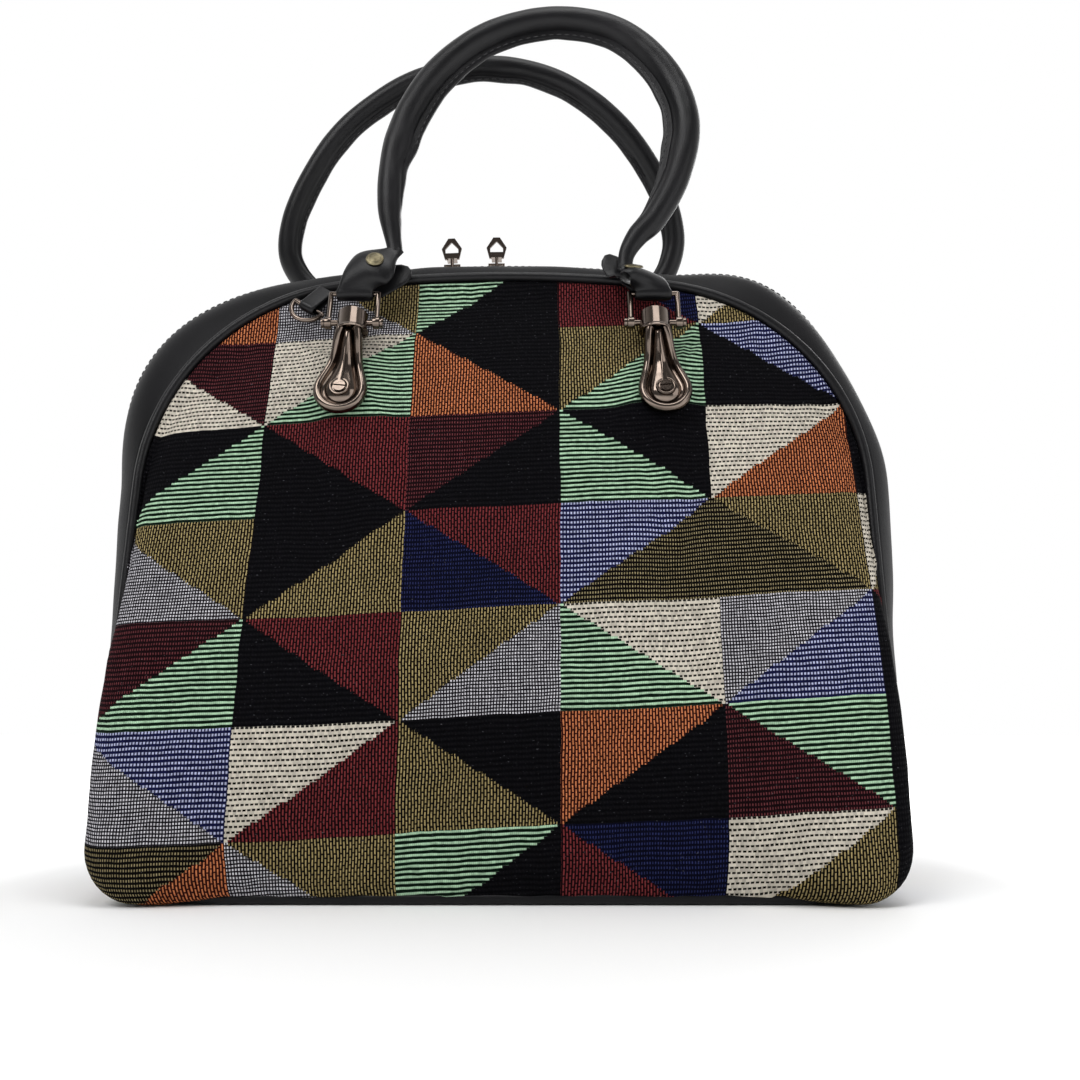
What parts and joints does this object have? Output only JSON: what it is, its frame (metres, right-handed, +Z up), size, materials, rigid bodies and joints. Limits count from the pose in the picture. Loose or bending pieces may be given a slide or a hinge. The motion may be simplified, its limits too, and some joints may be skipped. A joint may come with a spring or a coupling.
{
  "type": "dome-top handbag",
  "caption": "Dome-top handbag with patchwork woven panels, black piped seams, a zip gusset over the top, and rolled handles on swinging metal drops.",
  "frame": {"origin": "on the floor under the middle of the base", "axes": "+Z up, +X to the right along the front, front panel towards -Y"},
  "size_m": [0.394, 0.1636, 0.4671],
  "materials": {
    "woven_fabric": "patchwork jacquard weave in ribs and dashes",
    "leatherette": "smooth satin black with a fine grain",
    "zip_tape": "plain woven tape",
    "zip_teeth": "satin moulded plastic",
    "gunmetal": "polished dark nickel",
    "rivet_metal": "aged brass",
    "base_board": "stiff board"
  },
  "bodies": {
    "bag": {"front_panel": "woven_fabric", "back_panel": "woven_fabric", "left_side": "woven_fabric", "right_side": "woven_fabric", "base_panel": "leatherette", "base_board": "base_board", "front_piping": "leatherette", "back_piping": "leatherette", "front_zip_facing": "leatherette", "back_zip_facing": "leatherette", "front_zip_tape": "zip_tape", "back_zip_tape": "zip_tape", "zip_teeth": "zip_teeth", "front_left_drop": "gunmetal", "front_right_drop": "gunmetal", "back_left_drop": "gunmetal", "back_right_drop": "gunmetal", "bail_pins": "gunmetal", "drop_screws": "gunmetal", "screw_washers": "gunmetal", "front_ring_loop": "leatherette", "back_ring_loop": "leatherette"},
    "front_bails": {"front_left_bail": "gunmetal", "front_right_bail": "gunmetal"},
    "back_bails": {"back_left_bail": "gunmetal", "back_right_bail": "gunmetal"},
    "front_handle": {"front_handle": "leatherette", "front_tab_rivets": "rivet_metal"},
    "back_handle": {"back_handle": "leatherette", "back_tab_rivets": "rivet_metal"},
    "left_zip_slider": {"left_zip_slider": "gunmetal"},
    "right_zip_slider": {"right_zip_slider": "gunmetal"},
    "left_zip_pull": {"left_zip_pull": "gunmetal"},
    "right_zip_pull": {"right_zip_pull": "gunmetal"},
    "front_strap_ring": {"front_strap_ring": "gunmetal"},
    "back_strap_ring": {"back_strap_ring": "gunmetal"}
  },
  "joints": [
    {"name": "front_bails_swing", "type": "hinge", "parent": "bag", "child": "front_bails", "pos_m": [0, -0.05444, 0.27013], "axis": [1, 0, 0], "range_deg": [0, 85]},
    {"name": "front_handle_swing", "type": "hinge", "parent": "front_bails", "child": "front_handle", "pos_m": [0, -0.04915, 0.28734], "axis": [1, 0, 0], "range_deg": [0, 78]},
    {"name": "back_bails_swing", "type": "hinge", "parent": "bag", "child": "back_bails", "pos_m": [0, 0.05444, 0.27013], "axis": [-1, 0, 0], "range_deg": [0, 85]},
    {"name": "back_handle_swing", "type": "hinge", "parent": "back_bails", "child": "back_handle", "pos_m": [0, 0.04915, 0.28734], "axis": [-1, 0, 0], "range_deg": [0, 78]},
    {"name": "left_slider_travel", "type": "hinge", "parent": "bag", "child": "left_zip_slider", "pos_m": [0, 0, -0.394], "axis": [0, 1, 0], "range_deg": [-3.6, 0]},
    {"name": "right_slider_travel", "type": "hinge", "parent": "bag", "child": "right_zip_slider", "pos_m": [0, 0, -0.394], "axis": [0, 1, 0], "range_deg": [0, 6.4]},
    {"name": "left_pull_swing", "type": "hinge", "parent": "left_zip_slider", "child": "left_zip_pull", "pos_m": [-0.03013, 0, 0.32167], "axis": [0, 1, 0], "range_deg": [-60, 10]},
    {"name": "right_pull_swing", "type": "hinge", "parent": "right_zip_slider", "child": "right_zip_pull", "pos_m": [-0.00602, 0, 0.32227], "axis": [0, 1, 0], "range_deg": [-10, 60]},
    {"name": "front_ring_swing", "type": "hinge", "parent": "bag", "child": "front_strap_ring", "pos_m": [-0.098, -0.0436, 0.28256], "axis": [-0.8192, 0.2268, 0.5268], "range_deg": [0, 95]},
    {"name": "back_ring_swing", "type": "hinge", "parent": "bag", "child": "back_strap_ring", "pos_m": [0.098, 0.0436, 0.28256], "axis": [0.8192, -0.2268, 0.5268], "range_deg": [0, 95]}
  ]
}
